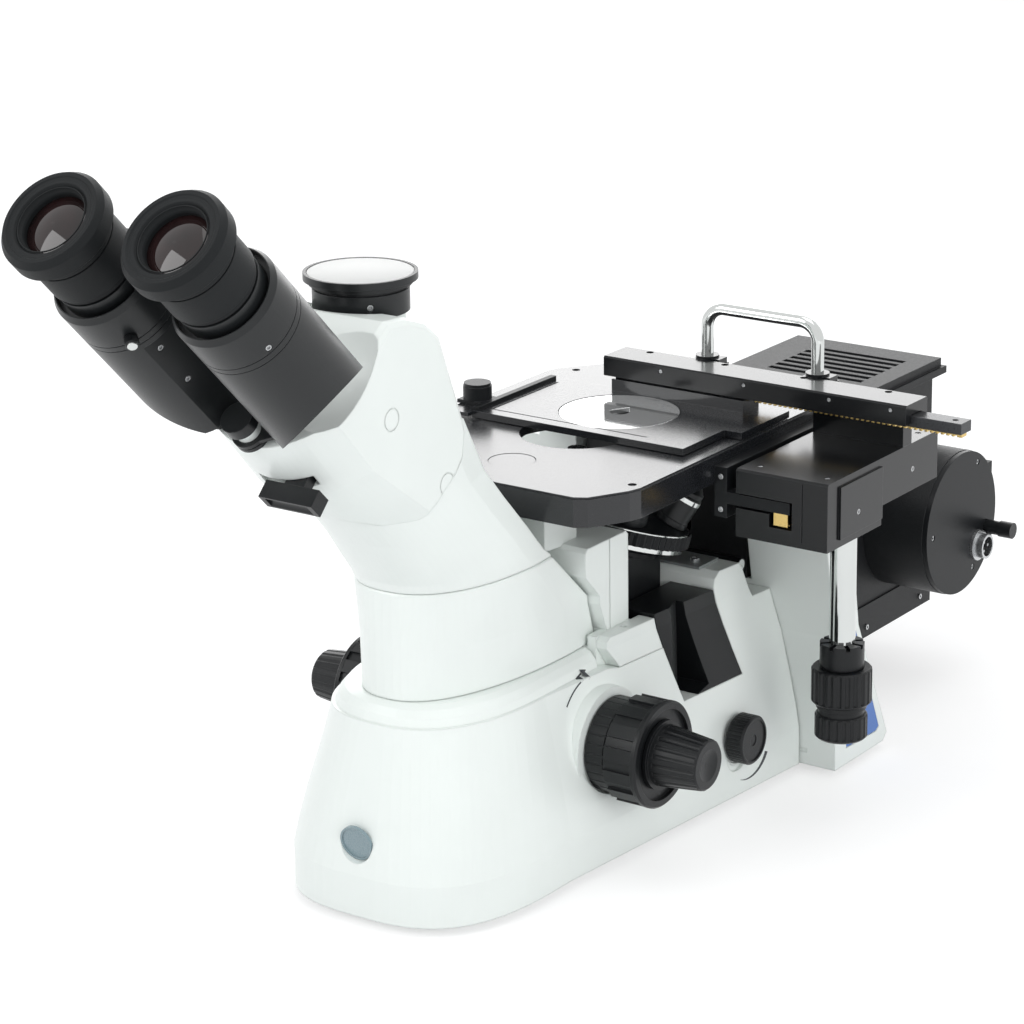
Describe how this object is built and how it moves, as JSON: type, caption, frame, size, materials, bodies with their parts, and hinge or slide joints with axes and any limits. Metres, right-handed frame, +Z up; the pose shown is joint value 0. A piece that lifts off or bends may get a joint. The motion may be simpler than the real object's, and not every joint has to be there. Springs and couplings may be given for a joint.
{
  "type": "inverted microscope",
  "caption": "White inverted bench microscope with inclined binocular head, camera port, tilted nosepiece, mechanical stage with handle and a vented lamp house.",
  "frame": {"origin": "on the table, in the symmetry plane, straight below the axis of the focus knobs", "axes": "+X to the operator's right, +Y from the eyepieces to the lamp house, +Z up"},
  "size_m": [0.2995, 0.665, 0.388],
  "materials": {
    "white_enamel": "satin",
    "black_anodised": "satin",
    "black_plastic": "satin",
    "black_rubber": "matte",
    "blue_panel": "satin",
    "chrome": "polished",
    "steel": "satin",
    "brass": "satin",
    "sheet_aluminium": "satin",
    "white_plastic": "satin",
    "optical_glass": "polished",
    "mirror_glass": "polished",
    "board": "matte",
    "ceramic": "matte",
    "badge_blue": "gloss"
  },
  "bodies": {
    "stand": {"base_casting": "white_enamel", "side_covers": "white_enamel", "neck_casting": "white_enamel", "arm_casting": "white_enamel", "head_casting": "white_enamel", "badge": "badge_blue", "rear_column": "white_enamel", "side_panels": "blue_panel", "rubber_feet": "black_rubber", "cover_plates": "sheet_aluminium", "circuit_board": "board", "power_fittings": "black_plastic", "recess_liner": "black_plastic", "stage_riser": "white_enamel", "stage_plate": "black_anodised", "stand_screws": "steel", "guide_rail": "black_anodised", "y_rack": "brass", "illuminator": "black_anodised", "lamp_body": "black_anodised", "lamp_cover": "black_anodised", "halogen_lamp": "ceramic", "side_drum": "black_anodised", "drum_plate": "black_anodised", "lamp_connector": "chrome", "pivot_hub": "black_anodised", "port_collar": "black_anodised", "relay_optics": "mirror_glass"},
    "nosepiece_slide": {"nosepiece_carrier": "black_anodised"},
    "turret": {"turret_body": "black_anodised", "turret_ring": "black_anodised", "turret_trim": "chrome", "objectives": "black_anodised"},
    "coarse_drive": {"coarse_knobs": "black_plastic"},
    "fine_drive": {"fine_knobs": "black_plastic"},
    "tension": {"tension_ring": "black_plastic"},
    "dial": {"brightness_dial": "black_plastic"},
    "y_carriage": {"drive_box": "black_anodised", "guide_bar": "black_anodised", "handle": "chrome", "drive_tube": "chrome", "drive_collar": "black_anodised"},
    "x_carriage": {"x_rail": "black_anodised", "x_rack": "brass", "specimen_plate": "black_anodised", "stage_insert": "white_plastic", "specimen_clip": "black_anodised"},
    "y_drive": {"upper_knob": "black_plastic"},
    "x_drive": {"lower_knob": "black_plastic"},
    "right_tube": {"housing_right": "black_anodised"},
    "left_tube": {"housing_left": "black_anodised"},
    "right_eyepiece": {"eyepiece_right": "black_anodised", "lens_right": "optical_glass"},
    "left_eyepiece": {"eyepiece_left": "black_anodised", "lens_left": "optical_glass"},
    "port_cover": {"port_cap": "black_anodised"},
    "light_path": {"path_slider": "black_plastic"},
    "aperture": {"aperture_rod": "black_anodised"},
    "lamp_centring": {"centring_rod": "black_plastic"},
    "rocker": {"power_rocker": "black_plastic"}
  },
  "joints": [
    {"name": "focus_lift", "type": "slide", "parent": "stand", "child": "nosepiece_slide", "axis": [0, 0, 1], "range_m": [-0.003, 0.004]},
    {"name": "turret_turn", "type": "hinge", "parent": "nosepiece_slide", "child": "turret", "pos_m": [0.01129, 0.08156, 0.146], "axis": [0.1462, 0.2532, 0.9563], "continuous": true},
    {"name": "coarse_turn", "type": "hinge", "parent": "stand", "child": "coarse_drive", "pos_m": [0, 0, 0.0627], "axis": [1, 0, 0], "range_deg": [-32, 32]},
    {"name": "fine_turn", "type": "hinge", "parent": "stand", "child": "fine_drive", "pos_m": [0, 0, 0.0627], "axis": [1, 0, 0], "continuous": true},
    {"name": "tension_turn", "type": "hinge", "parent": "stand", "child": "tension", "pos_m": [0.066, 0, 0.0627], "axis": [1, 0, 0], "range_deg": [-40, 40]},
    {"name": "brightness_turn", "type": "hinge", "parent": "stand", "child": "dial", "pos_m": [0.075, 0.098, 0.036], "axis": [1, 0, 0], "range_deg": [-135, 135]},
    {"name": "stage_y", "type": "slide", "parent": "stand", "child": "y_carriage", "axis": [0, 1, 0], "range_m": [-0.045, 0.003]},
    {"name": "stage_x", "type": "slide", "parent": "y_carriage", "child": "x_carriage", "axis": [1, 0, 0], "range_m": [-0.025, 0.02]},
    {"name": "y_knob_turn", "type": "hinge", "parent": "y_carriage", "child": "y_drive", "pos_m": [0.131, 0.1055, 0.075], "axis": [0, 0, 1], "range_deg": [-440, 40]},
    {"name": "x_knob_turn", "type": "hinge", "parent": "y_carriage", "child": "x_drive", "pos_m": [0.131, 0.1055, 0.053], "axis": [0, 0, 1], "range_deg": [-250, 250]},
    {"name": "right_tube_swing", "type": "hinge", "parent": "stand", "child": "right_tube", "pos_m": [0, -0.197, 0.263], "axis": [0, -0.7071, 0.7071], "range_deg": [-4, 17]},
    {"name": "left_tube_swing", "type": "hinge", "parent": "stand", "child": "left_tube", "pos_m": [0, -0.197, 0.263], "axis": [0, -0.7071, 0.7071], "range_deg": [-17, 4]},
    {"name": "right_dioptre", "type": "hinge", "parent": "right_tube", "child": "right_eyepiece", "pos_m": [0.0332, -0.18498, 0.27502], "axis": [0, -0.7071, 0.7071], "range_deg": [-60, 60]},
    {"name": "left_dioptre", "type": "hinge", "parent": "left_tube", "child": "left_eyepiece", "pos_m": [-0.0332, -0.18498, 0.27502], "axis": [0, -0.7071, 0.7071], "range_deg": [-60, 60]},
    {"name": "port_cover_lift", "type": "slide", "parent": "stand", "child": "port_cover", "axis": [0, 0, 1], "range_m": [0, 0.03]},
    {"name": "light_path_pull", "type": "slide", "parent": "stand", "child": "light_path", "axis": [1, 0, 0], "range_m": [-0.012, 0]},
    {"name": "aperture_pull", "type": "slide", "parent": "stand", "child": "aperture", "axis": [1, 0, 0], "range_m": [-0.005, 0.005]},
    {"name": "lamp_centring_pull", "type": "slide", "parent": "stand", "child": "lamp_centring", "axis": [1, 0, 0], "range_m": [-0.004, 0.003]},
    {"name": "rocker_tip", "type": "hinge", "parent": "stand", "child": "rocker", "pos_m": [0.0965, 0.178, 0.04], "axis": [0, 1, 0], "range_deg": [-12, 0]}
  ],
  "couplings": [
    {"joint": "coarse_turn", "follows": "focus_lift", "rad_per_m": 120},
    {"joint": "y_knob_turn", "follows": "stage_y", "rad_per_m": 160},
    {"joint": "x_knob_turn", "follows": "stage_x", "rad_per_m": 160},
    {"joint": "left_tube_swing", "follows": "right_tube_swing", "ratio": -1}
  ]
}
